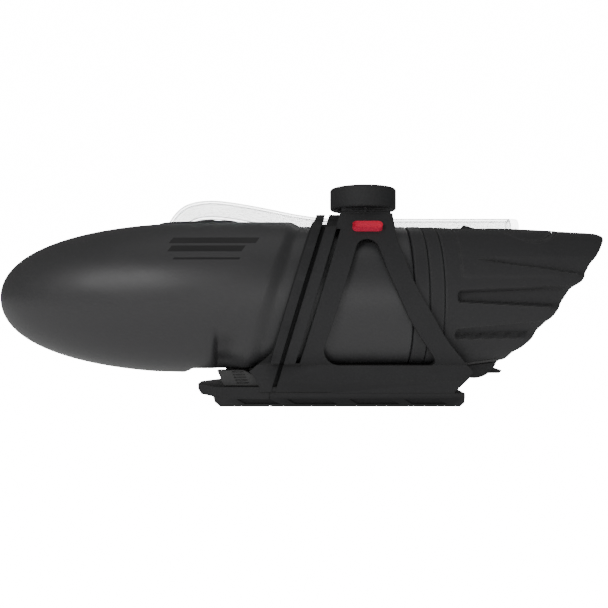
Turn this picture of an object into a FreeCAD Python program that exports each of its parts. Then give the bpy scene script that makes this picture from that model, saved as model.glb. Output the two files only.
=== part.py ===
import FreeCAD, Part
import math
import os
from FreeCAD import Vector

# Handlebar hydration bottle: a torpedo bottle with a soft tail, a clear straw along its top, the moulded
# cage that holds it, a keel-shaped base plate that bolts to the bars, and a round computer mount.
# Millimetres. +X points to the tail, +Z up. The origin is the centre of the base plate's underside.

# ---- bottle ----
SLEEVE_R = 37.05         # rear barrel, which the cage holds
BARREL_STEP = 2.45       # the front barrel's radius is larger by this much
BOTTLE_R = SLEEVE_R + BARREL_STEP
GAP_UNDER = 17.25        # from the base plate's underside to the sleeve
AXIS_Z = GAP_UNDER + SLEEVE_R
WALL = 2.0
NOSE_END_X = -54.7
NOSE_LENGTH = 116.0
NOSE_TIP_X = NOSE_END_X - NOSE_LENGTH
NOSE_SHARPNESS = 2.35    # the nose is a super-ellipse of these two powers
NOSE_FULLNESS = 0.44
SHOULDER_X = -24.0       # where the front barrel steps down, on the axis
SLEEVE_END_X = 38.5
BELLY_CUT = 1.35         # the flat of the belly lies this far inside the sleeve
BELLY_DROP = SLEEVE_R - BELLY_CUT
BELLY_FLAT_X = -69.8
LEAN = 0.305             # the cage's hoops and the shoulder lean back this much per unit of height
POCKET_X = -44.0         # finger pocket in each flank
POCKET_BALL_R = 20.0
POCKET_DEPTH = 2.5
POCKET_ANGLE = 41.0      # below the horizontal, seen along the axis

# Side outlines are drawn once, for this bottle. level() carries their heights to the present bottle.
DRAWN_R = 37.05
DRAWN_AXIS_Z = 54.3


def level(z):
    return AXIS_Z + (z - DRAWN_AXIS_Z) * SLEEVE_R / DRAWN_R


# ---- straw ----
STRAW_R = 5.0
STRAW_WALL = 1.3
STRAW_SINK = 0.55        # the straw's axis lies this far below the top of the sleeve
STRAW_Z = AXIS_Z + SLEEVE_R - STRAW_SINK
STRAW_HINGE_X = 45.0
FLEX_LENGTH = 8.0
BITE_START_X = 93.5
BITE_END_X = 98.2
BITE_R = STRAW_R + 0.1
CHANNEL_CLEAR = 0.4
CHANNEL_HALF_W = STRAW_R + 1.0
DIP_R = STRAW_R - 1.0

# ---- rings, boot and refill port ----
RING_SEAMS = [45.8, 53.0]
BOOT_X = 61.5
RING_WALL = 3.6
# distance behind the boot's front, rise of the centre above the axis, radius
BOOT_SECTIONS = [(0.0, 0.3, SLEEVE_R - 0.95), (29.5, 2.0, SLEEVE_R - 2.85), (74.5, 3.5, SLEEVE_R - 6.75),
                 (90.0, 3.9, SLEEVE_R - 8.15)]
BOOT_WALL = 3.2
FLUTE_DEPTH = 1.6
PORT_X = 98.5
PORT_SEMI_X = 18.0
PORT_SEMI_Y = 23.4
RIM_WIDTH = 1.7
LEAF_GAP = 0.3
LEAF_T = 2.0
LEAF_SLIT = 1.0          # half the slit between the two leaves
CLIP_X = 66.4
CLIP_LENGTH = 7.8
CLIP_HALF_W = CHANNEL_HALF_W + 1.6
CLIP_RISE = 0.9          # the peak of the clip's ears stands this far above the straw's axis

# ---- base plate ----
PLATE_LENGTH = 132.0
PLATE_HALF_W = 21.0
PLATE_T = 7.0
PLATE_FRONT_T = 10.1
KEEL_HALF_W = 18.5
KEEL_H = 5.0
CAP_LENGTH = 7.0
CAP_NOSE = 2.3           # the end cap reaches this far past the plate's length, on its narrow tip
CAP_TIP_HALF_W = 6.0
PLATE_SEAM_X = -30.9
BAR_BOLT_X = 30.0        # half the spacing of the four bar bolts
BAR_BOLT_Y = 8.0
INSERT_R = 3.5
INSERT_BORE_R = 2.5
INSERT_T = 5.5
SCREW_XS = [-20.4, 20.4, 52.0]
SCREW_R = 2.0
SCREW_HEAD_R = 4.2
SCREW_HEAD_T = 2.6
SCREW_RECESS = 0.4
SCREW_REACH = 13.0
HEX_R = 1.7
HEX_DEPTH = 1.6

# ---- cage ----
BORE_CLEAR = 0.35
BORE_R = SLEEVE_R + BORE_CLEAR
CAGE_WALL = 2.6
CAGE_R = BORE_R + CAGE_WALL
RIB_R = CAGE_R + 1.2
SLOT_HALF_W = CHANNEL_HALF_W + 2.0   # open slot along the top, for the straw
SADDLE_Z = STRAW_Z + STRAW_R + 1.2
SADDLE_X = (5.7, 31.0)
EAR_HALF_W = SLOT_HALF_W + 2.5
EAR_Z = SADDLE_Z - 0.4
BEAM_HALF_W = 22.5
BEAM_FOOT_HALF_W = PLATE_HALF_W - 0.5
HOOP_1 = (-20.6, -16.1)  # at HOOP_Z
HOOP_2 = (-14.0, -8.4)
SLIT = (-8.4, -6.3)
HOOP_Z = level(53.0)
HOOP_GROOVE_WALL = 1.1   # wall left under the groove between the two hoops

# ---- release pads ----
HOUSING_HALF_W = 9.0
HOUSING_X = (-54.0, -33.5)
PAD_CLEAR = 0.3
PAD_Y = (12.0, 18.2)
PAD_TRAVEL = 2.5
STEM_X = (-46.5, -40.5)
STEM_T = 2.8
BELLY_CLEAR = 0.5
RIB_COUNT = 5            # grip grooves in each pad's face
RIB_PITCH = 1.4
RIB_X = -46.6
RIB_LEAN = 0.46
RIB_LENGTH = 6.0
RIB_DEPTH = 0.7

# ---- tail latch ----
PIN_X = 63.5
PIN_Z = level(15.8)
PIN_R = 1.3
PIN_CLEAR = 0.05
KNUCKLE_R = 2.2
LEVER_HALF_W = 9.6
LOBE_X = 73.0
LOBE_Z = level(25.6)
LOBE_R = 12.4
LATCH_PAD_T = 0.8
LATCH_GAP = 0.3

# ---- computer mount ----
PUCK_X = 17.3
PUCK_R = 17.3
PUCK_H = 11.2
MOUNT_T = 3.0
MOUNT_HALF_W = 12.4
SOCKET_R = 11.0
SOCKET_LIP = 2.5
SOCKET_DEPTH = 6.0
SOCKET_UNDERCUT = 2.2
TAB_SLOT_W = 7.4
MOUNT_SCREW_Y = 10.6
MOUNT_SCREW_R = 1.2


def rounded_wire(corners):
    """Closed wire through (point, radius) corners; a radius above 0 rounds that corner."""
    count = len(corners)
    cuts = []
    for i, (point, radius) in enumerate(corners):
        arrive = (point - corners[i - 1][0]).normalize()
        leave = (corners[(i + 1) % count][0] - point).normalize()
        half_turn = arrive.getAngle(leave) / 2
        if radius == 0:
            cuts.append((point, None, point))
            continue
        reach = radius * math.tan(half_turn)
        inward = (leave - arrive).normalize()
        middle = point + inward * (radius / math.cos(half_turn) - radius)
        cuts.append((point - arrive * reach, middle, point + leave * reach))
    edges = []
    for i, (start, middle, end) in enumerate(cuts):
        before = cuts[i - 1][2]
        if (start - before).Length > 1e-6:
            edges.append(Part.LineSegment(before, start).toShape())
        if middle:
            edges.append(Part.Arc(start, middle, end).toShape())
    return Part.Wire(edges)


def side_prism(outline, y0, y1):
    """Solid with an (x, z) or (x, z, corner radius) outline, from y0 to y1."""
    corners = [(Vector(p[0], y0, p[1]), p[2] if len(p) > 2 else 0) for p in outline]
    return Part.Face(rounded_wire(corners)).extrude(Vector(0, y1 - y0, 0))


def end_prism(outline, x0, x1):
    """Solid with a (y, z) outline, from x0 to x1."""
    corners = [(Vector(x0, p[0], p[1]), 0) for p in outline]
    return Part.Face(rounded_wire(corners)).extrude(Vector(x1 - x0, 0, 0))


def box(x0, x1, y0, y1, z0, z1):
    return Part.makeBox(x1 - x0, y1 - y0, z1 - z0, Vector(x0, y0, z0))


def rod_x(radius, x0, x1, z):
    return Part.makeCylinder(radius, x1 - x0, Vector(x0, 0, z), Vector(1, 0, 0))


def rod_y(radius, y0, y1, x, z):
    return Part.makeCylinder(radius, y1 - y0, Vector(x, y0, z), Vector(0, 1, 0))


def rod_z(radius, x, y, z0, z1):
    return Part.makeCylinder(radius, z1 - z0, Vector(x, y, z0), Vector(0, 0, 1))


def oval_z(x, semi_x, semi_y, z0, z1):
    centre = Vector(x, 0, z0)
    along_x = Vector(x + semi_x, 0, z0)
    along_y = Vector(x, semi_y, z0)
    longer, shorter = (along_x, along_y) if semi_x > semi_y else (along_y, along_x)
    edge = Part.Ellipse(longer, shorter, centre).toShape()
    return Part.Face(Part.Wire(edge)).extrude(Vector(0, 0, z1 - z0))


def other_side(shape):
    return shape.mirror(Vector(0, 0, 0), Vector(0, 1, 0))


def both_sides(shape):
    return shape.fuse(other_side(shape))


def join(*shapes):
    whole = shapes[0]
    for shape in shapes[1:]:
        whole = whole.fuse(shape)
    return whole.removeSplitter()


# ---- straw route: straight runs and tangent arcs, out of the nose and back along the top ----
STRAW_ROUTE = [
    Vector(-86.0, 0, STRAW_Z - 12.8),
    Vector(-79.5, 0, STRAW_Z + 5.2),
    Vector(-66.0, 0, STRAW_Z + 10.4),
    Vector(-45.0, 0, STRAW_Z + 7.8),
    Vector(-8.0, 0, STRAW_Z),
    Vector(STRAW_HINGE_X - FLEX_LENGTH / 2, 0, STRAW_Z),
]
DIP_ROUTE = [
    STRAW_ROUTE[0],
    STRAW_ROUTE[0] * 2.1 - STRAW_ROUTE[1] * 1.1,
    Vector(-70.0, 0, AXIS_Z - 20.0),
    Vector(-10.0, 0, AXIS_Z - 27.0),
]


def route_wire(points):
    """Straight runs through the points, each bend an arc of 0.45 of its shorter run."""
    edges = []
    start = points[0]
    for before, point, after in zip(points, points[1:], points[2:]):
        arrive = (point - before).normalize()
        leave = (after - point).normalize()
        turn = arrive.getAngle(leave)
        reach = 0.45 * min((point - before).Length, (after - point).Length)
        radius = reach / math.tan(turn / 2)
        print("bend radius %.1f" % radius)
        inward = (leave - arrive).normalize()
        middle = point + inward * (radius / math.cos(turn / 2) - radius)
        edges.append(Part.LineSegment(start, point - arrive * reach).toShape())
        edges.append(Part.Arc(point - arrive * reach, middle, point + leave * reach).toShape())
        start = point + leave * reach
    edges.append(Part.LineSegment(start, points[-1]).toShape())
    return Part.Wire(edges)


def swept(points, radius):
    path = route_wire(points)
    ring = Part.Wire(Part.makeCircle(radius, points[0], points[1] - points[0]))
    solid = Part.Solid(path.makePipeShell([ring], True, True))
    expected = math.pi * radius ** 2 * path.Length
    print("swept volume %.0f, section times length %.0f" % (solid.Volume, expected))
    return solid


def tube(points, radius, wall):
    return swept(points, radius).cut(swept(points, radius - wall))


def channel(grow):
    """Slot in the top of the bottle that the straw lies in."""
    floor = STRAW_Z - STRAW_R - CHANNEL_CLEAR - grow
    top = SADDLE_Z + 30
    outline = [(-52 - grow, floor + 8.5), (-42, floor + 6.9), (-15.7, floor + 2.0), (0, floor + 0.2),
               (5, floor), (200, floor), (200, top), (-52 - grow, top)]
    half = CHANNEL_HALF_W + grow
    return side_prism(outline, -half, half)


# ---- bottle ----
def nose_curve(radius, tip_x, length):
    points = []
    steps = 10
    for i in range(steps + 1):
        s = (i / steps) ** 2
        r = radius * (1 - (1 - s) ** NOSE_SHARPNESS) ** NOSE_FULLNESS
        points.append(Vector(tip_x + s * length, 0, AXIS_Z + r))
    curve = Part.BSplineCurve()
    curve.interpolate(Points=points, InitialTangent=Vector(0, 0, 1), FinalTangent=Vector(1, 0, 0))
    return curve.toShape(), points[-1]


def torpedo(inset, end_x):
    tip = Vector(NOSE_TIP_X + inset, 0, AXIS_Z)
    curve, nose_end = nose_curve(BOTTLE_R - inset, tip.x, NOSE_LENGTH - inset)
    corner = Vector(end_x, 0, nose_end.z)
    tail = Vector(end_x, 0, AXIS_Z)
    lines = [(nose_end, corner), (corner, tail), (tail, tip)]
    wire = Part.Wire([curve] + [Part.LineSegment(a, b).toShape() for a, b in lines])
    return Part.Face(wire).revolve(Vector(0, 0, AXIS_Z), Vector(1, 0, 0), 360)


def behind_shoulder(shift):
    low, high = -60.0, 60.0
    x = SHOULDER_X - shift
    outline = [(x + LEAN * low, AXIS_Z + low), (x + LEAN * high, AXIS_Z + high), (120, AXIS_Z + high),
               (120, AXIS_Z + low)]
    return side_prism(outline, -60, 60)


def under_belly(inset):
    flat = AXIS_Z - BELLY_DROP + inset
    low = AXIS_Z - BOTTLE_R - 20
    back = SHOULDER_X - LEAN * BELLY_DROP
    outline = [(BELLY_FLAT_X - 18.2, low), (BELLY_FLAT_X - 18.2, flat - 3.9),
               (BELLY_FLAT_X - 13.2, flat - 3.1), (BELLY_FLAT_X - 5.2, flat - 3.1), (BELLY_FLAT_X, flat),
               (back, flat), (back, low)]
    return side_prism(outline, -60, 60)


def finger_pocket(grow):
    angle = math.radians(POCKET_ANGLE)
    reach = BOTTLE_R + POCKET_BALL_R - POCKET_DEPTH
    centre = Vector(POCKET_X, reach * math.cos(angle), AXIS_Z - reach * math.sin(angle))
    return both_sides(Part.makeSphere(POCKET_BALL_R + grow, centre))


def bottle_body(inset, end_x):
    front = torpedo(inset, 0).cut(behind_shoulder(inset))
    sleeve = rod_x(SLEEVE_R - inset, BELLY_FLAT_X + 20, end_x, AXIS_Z)
    body = front.fuse(sleeve).cut(under_belly(inset)).cut(channel(inset)).cut(finger_pocket(inset))
    return body.removeSplitter()


GROMMET_X = -69.0
GROMMET_SEMI = (21.0, CHANNEL_HALF_W + 3.0)
GROMMET_PROUD = 0.8
GROMMET_DEPTH = 6.0


def grommet_plug():
    base = AXIS_Z + BOTTLE_R - GROMMET_DEPTH
    return oval_z(GROMMET_X, GROMMET_SEMI[0], GROMMET_SEMI[1], base, base + 30)


def bottle_shell():
    outer = bottle_body(0, SLEEVE_END_X)
    return outer.cut(bottle_body(WALL, SLEEVE_END_X + 10)).cut(grommet_plug())


def straw_grommet():
    plug = grommet_plug().common(torpedo(-GROMMET_PROUD, 0))
    return plug.cut(channel(0)).cut(swept(STRAW_ROUTE, STRAW_R))


def straw_flex():
    x0 = STRAW_HINGE_X - FLEX_LENGTH / 2
    outer = rod_x(STRAW_R, x0, x0 + FLEX_LENGTH, STRAW_Z)
    return outer.cut(rod_x(STRAW_R - STRAW_WALL, x0 - 1, x0 + FLEX_LENGTH + 1, STRAW_Z))


def straw_tip():
    x0 = STRAW_HINGE_X + FLEX_LENGTH / 2
    outer = rod_x(STRAW_R, x0, BITE_START_X, STRAW_Z)
    return outer.cut(rod_x(STRAW_R - STRAW_WALL, x0 - 1, BITE_START_X + 1, STRAW_Z))


def bite_valve():
    outer = rod_x(BITE_R, BITE_START_X, BITE_END_X, STRAW_Z)
    outer = outer.makeFillet(0.8, [e for e in outer.Edges if abs(e.BoundBox.XMin - BITE_END_X) < 1e-3])
    return outer.cut(rod_x(STRAW_R - STRAW_WALL, BITE_START_X - 1, BITE_END_X - 1.5, STRAW_Z))


# ---- rings, boot and port ----
def ring(x0, x1, radius):
    outer = rod_x(radius, x0, x1, AXIS_Z)
    hollow = rod_x(radius - RING_WALL, x0 - 1, x1 + 1, AXIS_Z).cut(channel(WALL))
    return outer.cut(hollow).cut(channel(0))


def rear_cut(shift):
    outline = [(84, -10), (91.0, 24.5), (99.6, 36.3, 30), (112.5, 54.5, 60), (125.4, 70.0, 60),
               (134.9, 81.1), (140.0, 87.5), (146, 100), (190, 100), (190, -10)]
    placed = [(x - shift, level(z)) + tuple(rest) for x, z, *rest in outline]
    return side_prism(placed, -60, 60)


def boot_body(inset, rear_shift):
    wires = []
    for along, rise, radius in BOOT_SECTIONS:
        centre = Vector(BOOT_X + along, 0, AXIS_Z + rise)
        wires.append(Part.Wire(Part.makeCircle(radius - inset, centre, Vector(1, 0, 0))))
    return Part.makeLoft(wires, True, False).cut(rear_cut(rear_shift))


FLUTES = [
    [(68.3, 72.7), (160.0, 75.3), (160.0, 60.8)],
    [(50.0, 57.4), (160.0, 62.5), (160.0, 46.6), (50.0, 52.1)],
    [(50.0, 38.6), (160.0, 47.9), (160.0, 34.0), (50.0, 34.0)],
]


def flutes():
    core = boot_body(FLUTE_DEPTH, 0)
    cuts = []
    for outline in FLUTES:
        placed = [(x, level(z)) for x, z in outline]
        cuts.append(both_sides(side_prism(placed, 10, 60)).cut(core))
    return cuts


def clip_block(grow):
    low = STRAW_Z - STRAW_R - CHANNEL_CLEAR - 1.0
    x0, x1 = CLIP_X - grow, CLIP_X + CLIP_LENGTH + grow
    outline = [(x0, low), (x0, STRAW_Z - 1.4), (x0 + 2.0, STRAW_Z + CLIP_RISE), (x1, STRAW_Z - 1.0),
               (x1, low)]
    return side_prism(outline, -CLIP_HALF_W - grow, CLIP_HALF_W + grow)


def straw_clip():
    return clip_block(0).cut(channel(0))


def port(inset):
    return oval_z(PORT_X, PORT_SEMI_X - inset, PORT_SEMI_Y - inset, level(73), level(115))


def boot_skin(wall):
    hollow = boot_body(wall, wall * 1.3).cut(channel(WALL + 0.4))
    return boot_body(0, 0).cut(hollow).cut(channel(0))


def tail_boot():
    body = boot_skin(BOOT_WALL).cut(port(0)).cut(clip_block(0))
    for flute in flutes():
        body = body.cut(flute)
    return body


def refill_rim():
    return boot_skin(BOOT_WALL).common(port(0)).cut(port(RIM_WIDTH))


def refill_leaf():
    leaf = boot_skin(LEAF_T).common(port(RIM_WIDTH + LEAF_GAP))
    return leaf.common(box(0, 200, LEAF_SLIT, 60, 0, 200))


def latch_pad():
    band = boot_body(-LATCH_PAD_T, 0).cut(boot_body(0, 0))
    return band.common(box(67.2, 85.4, -12, 12, 0, LOBE_Z))


# ---- base plate ----
def plate_section(inset):
    half = PLATE_HALF_W - inset
    keel = KEEL_HALF_W - inset
    return [(-half, 20), (-half, KEEL_H), (-keel, inset), (keel, inset), (half, KEEL_H), (half, 20)]


def plate_plan():
    """The plate seen from above: parallel sides, and a front that narrows to the end cap's tip."""
    tip = -PLATE_LENGTH / 2 - CAP_NOSE
    corner = tip + 11.5
    back = PLATE_LENGTH / 2
    outline = [(tip, -CAP_TIP_HALF_W), (tip, CAP_TIP_HALF_W), (corner, PLATE_HALF_W), (back, PLATE_HALF_W),
               (back, -PLATE_HALF_W), (corner, -PLATE_HALF_W)]
    corners = [(Vector(x, y, -1), 0) for x, y in outline]
    return Part.Face(rounded_wire(corners)).extrude(Vector(0, 0, 30))


def plate_run():
    """The plate's length without the end cap, from its front to its back."""
    return -PLATE_LENGTH / 2 + CAP_LENGTH, PLATE_LENGTH / 2


def plate_blank():
    """The plate before its seam, pockets and holes are cut."""
    front, back = plate_run()
    outline = [(front, PLATE_FRONT_T), (front, 5), (front + 1.2, 2.4), (front + 3.7, 0), (back - 2, 0),
               (back, 2), (back, PLATE_T), (0.7, PLATE_T), (-16.3, PLATE_FRONT_T)]
    body = end_prism(plate_section(0), front, back).common(side_prism(outline, -60, 60))
    return body.common(plate_plan())


def base_plate():
    front, back = plate_run()
    seam = box(PLATE_SEAM_X, PLATE_SEAM_X + 0.4, -60, 60, -1, 20)
    plate = plate_blank().cut(seam.cut(end_prism(plate_section(0.4), front, back)))
    core = end_prism(plate_section(0.6), front, back)
    for x, run in ((-46.8, 16.6), (-22.0, 20.0), (9.0, 20.0), (36.0, 16.6)):
        pocket = side_prism([(x, 3.9), (x + run, 3.9), (x + run + 5, 1.4), (x + 4, 1.4)], -60, 60)
        plate = plate.cut(pocket.cut(core))
    for x, y in bar_bolts():
        plate = plate.cut(rod_z(INSERT_R, x, y, -1, INSERT_T + 0.3))
    for x in SCREW_XS:
        plate = plate.cut(screw_blank(x)).cut(rod_z(SCREW_HEAD_R, x, 0, -1, SCREW_RECESS))
    return plate


def base_end_cap():
    front = -PLATE_LENGTH / 2 - CAP_NOSE
    back = -PLATE_LENGTH / 2 + CAP_LENGTH
    outline = [(front, PLATE_FRONT_T), (front, 7.4), (front + 2.2, 5), (back, 5), (back, PLATE_FRONT_T)]
    return side_prism(outline, -PLATE_HALF_W, PLATE_HALF_W).common(plate_plan())


def bar_bolts():
    return [(x, y) for x in (-BAR_BOLT_X, BAR_BOLT_X) for y in (-BAR_BOLT_Y, BAR_BOLT_Y)]


def bar_insert(x, y):
    return rod_z(INSERT_R, x, y, 0, INSERT_T).cut(rod_z(INSERT_BORE_R, x, y, -1, INSERT_T + 1))


def screw_blank(x):
    head = rod_z(SCREW_HEAD_R, x, 0, SCREW_RECESS, SCREW_RECESS + SCREW_HEAD_T)
    return join(head, rod_z(SCREW_R, x, 0, SCREW_RECESS, SCREW_REACH))


def cage_screw(x):
    corners = [math.radians(60 * i) for i in range(7)]
    socket = Part.makePolygon([Vector(x + HEX_R * math.cos(a), HEX_R * math.sin(a), 0) for a in corners])
    return screw_blank(x).cut(Part.Face(Part.Wire(socket)).extrude(Vector(0, 0, SCREW_RECESS + HEX_DEPTH)))


# ---- cage ----
def leaning_slab(x0, x1, z0, z1):
    def at(x, z):
        return (x + LEAN * (z - HOOP_Z), z)
    return side_prism([at(x0, z0), at(x0, z1), at(x1, z1), at(x1, z0)], -60, 60)


def cage_side():
    """Side outline of the whole cage, window not yet cut."""
    outline = [(-5.7, 102), (-10.5, 89.5), (-28.8, 27.6, 10), (-40.6, 17.9), (-38.2, 15.2), (-35.4, 9.5),
               (-35.2, 4), (57.5, 4), (68, 14.8, 1), (69.8, 17.8, 1.5), (54, 33.8, 60), (38.2, 60, 60),
               (31.3, 82, 20), (31, 102)]
    placed = [(x, z if z < PLATE_T else level(z)) + tuple(rest) for x, z, *rest in outline]
    return side_prism(placed, -60, 60)


def cage_window():
    outline = [(16.95, 95.6, 5.6), (-6.9, 20.9, 8), (52.6, 20.9, 2), (36.8, 42.2, 60), (26.3, 65.3, 60)]
    return side_prism([(x, level(z), r) for x, z, r in outline], -60, 60)


def hoop_groove():
    """The deep groove between the two hoops, down to the base plate."""
    groove = leaning_slab(HOOP_1[1], HOOP_2[0], PLATE_T + 0.8, SADDLE_Z)
    groove = groove.cut(rod_x(BORE_R + HOOP_GROOVE_WALL, -100, 100, AXIS_Z))
    return groove.cut(box(-60, 60, -BEAM_FOOT_HALF_W + 1.5, BEAM_FOOT_HALF_W - 1.5, 0, level(30)))


def cage():
    back = CAGE_R / math.sqrt(2)
    flat = back * 2 - (SADDLE_Z - AXIS_Z)
    barrel = rod_x(CAGE_R, -45, 75, AXIS_Z)
    beam = end_prism([(-BEAM_FOOT_HALF_W, 5), (-BEAM_HALF_W, level(13.5)), (-BEAM_HALF_W, level(25)),
                      (BEAM_HALF_W, level(25)), (BEAM_HALF_W, level(13.5)), (BEAM_FOOT_HALF_W, 5)], -45, 75)
    roof = end_prism([(-back, AXIS_Z + back), (-flat, SADDLE_Z), (flat, SADDLE_Z), (back, AXIS_Z + back)],
                     2, SADDLE_X[1] + 2)
    roof = roof.cut(side_prism([(1, SADDLE_Z - 9), (5.2, SADDLE_Z + 1), (1, SADDLE_Z + 1)], -60, 60))
    body = join(barrel, beam, roof)
    for x0, x1 in (HOOP_1, HOOP_2):
        slab = leaning_slab(x0, x1, level(22), EAR_Z)
        ear = box(-30, 20, -EAR_HALF_W, EAR_HALF_W, AXIS_Z, EAR_Z)
        body = body.fuse(rod_x(RIB_R, -45, 75, AXIS_Z).fuse(ear).common(slab))
    body = body.common(cage_side()).cut(rod_x(BORE_R, -100, 100, AXIS_Z))
    body = body.cut(torpedo(-BORE_CLEAR, 0).cut(behind_shoulder(-2 * BORE_CLEAR)))
    body = body.cut(cage_window()).cut(leaning_slab(SLIT[0], SLIT[1], level(22), SADDLE_Z - 9))
    body = body.cut(hoop_groove())
    body = body.cut(box(-60, 60, -SLOT_HALF_W, SLOT_HALF_W, AXIS_Z + 20, 200))
    body = body.cut(box(-60, -29, -19, 19, 0, level(30)))
    body = body.cut(box(52, 80, -LEVER_HALF_W - 0.4, LEVER_HALF_W + 0.4, PLATE_T + 2, level(30)))
    body = body.cut(rod_y(PIN_R, -15, 15, PIN_X, PIN_Z)).cut(plate_blank())
    body = body.cut(box(-60, 80, -60, 60, -10, PLATE_T))
    for x in SCREW_XS:
        body = body.cut(screw_blank(x))
    for side in (-1, 1):
        body = body.cut(mount_screw(side))
    return body.removeSplitter()


# ---- release pads ----
def stem(side_clear):
    z = PLATE_FRONT_T + 1.6
    return box(STEM_X[0] - side_clear, STEM_X[1] + side_clear, 2.0, PAD_Y[0] + 1, z - side_clear,
               z + STEM_T + side_clear)


def release_housing():
    top = AXIS_Z - SLEEVE_R - 0.8
    front, back = HOUSING_X
    block = side_prism([(front, PLATE_FRONT_T), (front + 2, top, 1.5), (back - 2, top, 1.5),
                        (back, PLATE_FRONT_T)], -HOUSING_HALF_W, HOUSING_HALF_W)
    return block.cut(both_sides(stem(PAD_CLEAR)))


def release_pad():
    low = PLATE_FRONT_T + PAD_CLEAR
    top = AXIS_Z - BELLY_DROP - BELLY_CLEAR
    face = side_prism([(-57.0, top), (-53.5, low), (-35.6, low), (-38.2, low + 5.0, 6), (-43.5, top, 3)],
                      PAD_Y[0], PAD_Y[1])
    for i in range(RIB_COUNT):
        z = low + RIB_PITCH * (i + 0.7)
        x = RIB_X - RIB_LEAN * (z - low)
        face = face.cut(box(x, x + RIB_LENGTH, PAD_Y[1] - RIB_DEPTH, PAD_Y[1] + 1, z, z + RIB_DEPTH))
    inner = stem(0).cut(box(-60, -30, 0, 2.0 + PAD_TRAVEL + PAD_CLEAR, 0, 30))
    return join(face, inner)


# ---- tail latch ----
def latch_pin():
    return rod_y(PIN_R, -15, 15, PIN_X, PIN_Z)


def latch_lever():
    lobe = rod_y(LOBE_R, -LEVER_HALF_W, LEVER_HALF_W, LOBE_X, LOBE_Z)
    lobe = lobe.common(box(PIN_X - 0.5, 100, -50, 50, 0, LOBE_Z - 3.2))
    knuckle = rod_y(KNUCKLE_R, -LEVER_HALF_W, LEVER_HALF_W, PIN_X, PIN_Z)
    arm = side_prism([(PIN_X, PIN_Z - KNUCKLE_R), (PIN_X + 6, PIN_Z - KNUCKLE_R), (PIN_X + 6, PIN_Z + 3),
                      (PIN_X, PIN_Z + 1.5)], -LEVER_HALF_W, LEVER_HALF_W)
    tab = side_prism([(79, PIN_Z - 0.3), (86.8, PIN_Z - 0.3, 1), (88.5, PIN_Z + 1.2, 0.4),
                      (86, PIN_Z + 2.0), (79, PIN_Z + 1.8)], -7, 7)
    lever = join(lobe, knuckle, arm, tab).cut(boot_body(-LATCH_PAD_T - LATCH_GAP, 0))
    return lever.cut(rod_y(PIN_R + PIN_CLEAR, -50, 50, PIN_X, PIN_Z))


# ---- computer mount ----
def mount_screw(side):
    y = side * MOUNT_SCREW_Y
    top = SADDLE_Z + MOUNT_T
    head = Part.makeCone(MOUNT_SCREW_R, MOUNT_SCREW_R * 1.8, 1.4, Vector(PUCK_X, y, top - 1.4),
                         Vector(0, 0, 1))
    return join(rod_z(MOUNT_SCREW_R, PUCK_X, y, SADDLE_Z - 6, top - 1.2), head)


def computer_mount_base():
    plate = side_prism([(SADDLE_X[0], SADDLE_Z), (SADDLE_X[0], SADDLE_Z + MOUNT_T),
                        (SADDLE_X[1] - 0.6, SADDLE_Z + MOUNT_T), (SADDLE_X[1] - 0.6, SADDLE_Z)],
                       -MOUNT_HALF_W, MOUNT_HALF_W)
    for side in (-1, 1):
        plate = plate.cut(mount_screw(side))
    inside = box(SADDLE_X[0] + 0.8, SADDLE_X[1] - 1.4, 0.8 - MOUNT_HALF_W, MOUNT_HALF_W - 0.8, 0, 200)
    for rise in (0.9, 2.1):
        plate = plate.cut(box(-60, 60, -60, 60, SADDLE_Z + rise, SADDLE_Z + rise + 0.4).cut(inside))
    return plate


def computer_mount_puck():
    low = SADDLE_Z + MOUNT_T
    high = low + PUCK_H
    puck = rod_z(PUCK_R, PUCK_X, 0, low, high)
    puck = puck.makeFillet(1.2, [e for e in puck.Edges if e.Length > 50 and e.BoundBox.ZLength < 1e-3])
    puck = puck.cut(rod_z(SOCKET_R, PUCK_X, 0, high - SOCKET_LIP, high + 1))
    floor = high - SOCKET_DEPTH
    puck = puck.cut(rod_z(SOCKET_R + SOCKET_UNDERCUT, PUCK_X, 0, floor, high - SOCKET_LIP))
    reach = SOCKET_R + SOCKET_UNDERCUT
    return puck.cut(box(PUCK_X - TAB_SLOT_W / 2, PUCK_X + TAB_SLOT_W / 2, -reach, reach, floor, high + 1)
                    .common(rod_z(reach, PUCK_X, 0, floor, high + 1)))


def all_parts():
    parts = {
        "base_plate": base_plate(),
        "base_end_cap": base_end_cap(),
        "release_housing": release_housing(),
        "cage": cage(),
        "computer_mount_base": computer_mount_base(),
        "computer_mount_puck": computer_mount_puck(),
        "latch_pin": latch_pin(),
        "latch_lever": latch_lever(),
        "bottle_shell": bottle_shell(),
        "straw_grommet": straw_grommet(),
        "straw_tube": tube(STRAW_ROUTE, STRAW_R, STRAW_WALL),
        "dip_tube": tube(DIP_ROUTE, DIP_R, STRAW_WALL),
        "straw_flex": straw_flex(),
        "straw_tip": straw_tip(),
        "bite_valve": bite_valve(),
        "collar_ring": ring(SLEEVE_END_X, RING_SEAMS[0], SLEEVE_R),
        "seal_ring": ring(RING_SEAMS[0], RING_SEAMS[1], SLEEVE_R - 0.3),
        "clamp_ring": ring(RING_SEAMS[1], BOOT_X, SLEEVE_R - 0.5),
        "tail_boot": tail_boot(),
        "straw_clip": straw_clip(),
        "refill_rim": refill_rim(),
        "latch_pad": latch_pad(),
        "refill_leaf_left": refill_leaf(),
        "refill_leaf_right": other_side(refill_leaf()),
        "release_pad_left": release_pad(),
        "release_pad_right": other_side(release_pad()),
    }
    for name, (x, y) in zip(("front_right", "front_left", "rear_right", "rear_left"), bar_bolts()):
        parts["bar_insert_" + name] = bar_insert(x, y)
    for name, x in zip(("front", "middle", "rear"), SCREW_XS):
        parts["cage_screw_" + name] = cage_screw(x)
    for name, side in (("left", 1), ("right", -1)):
        parts["mount_screw_" + name] = mount_screw(side)
    return parts


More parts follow.
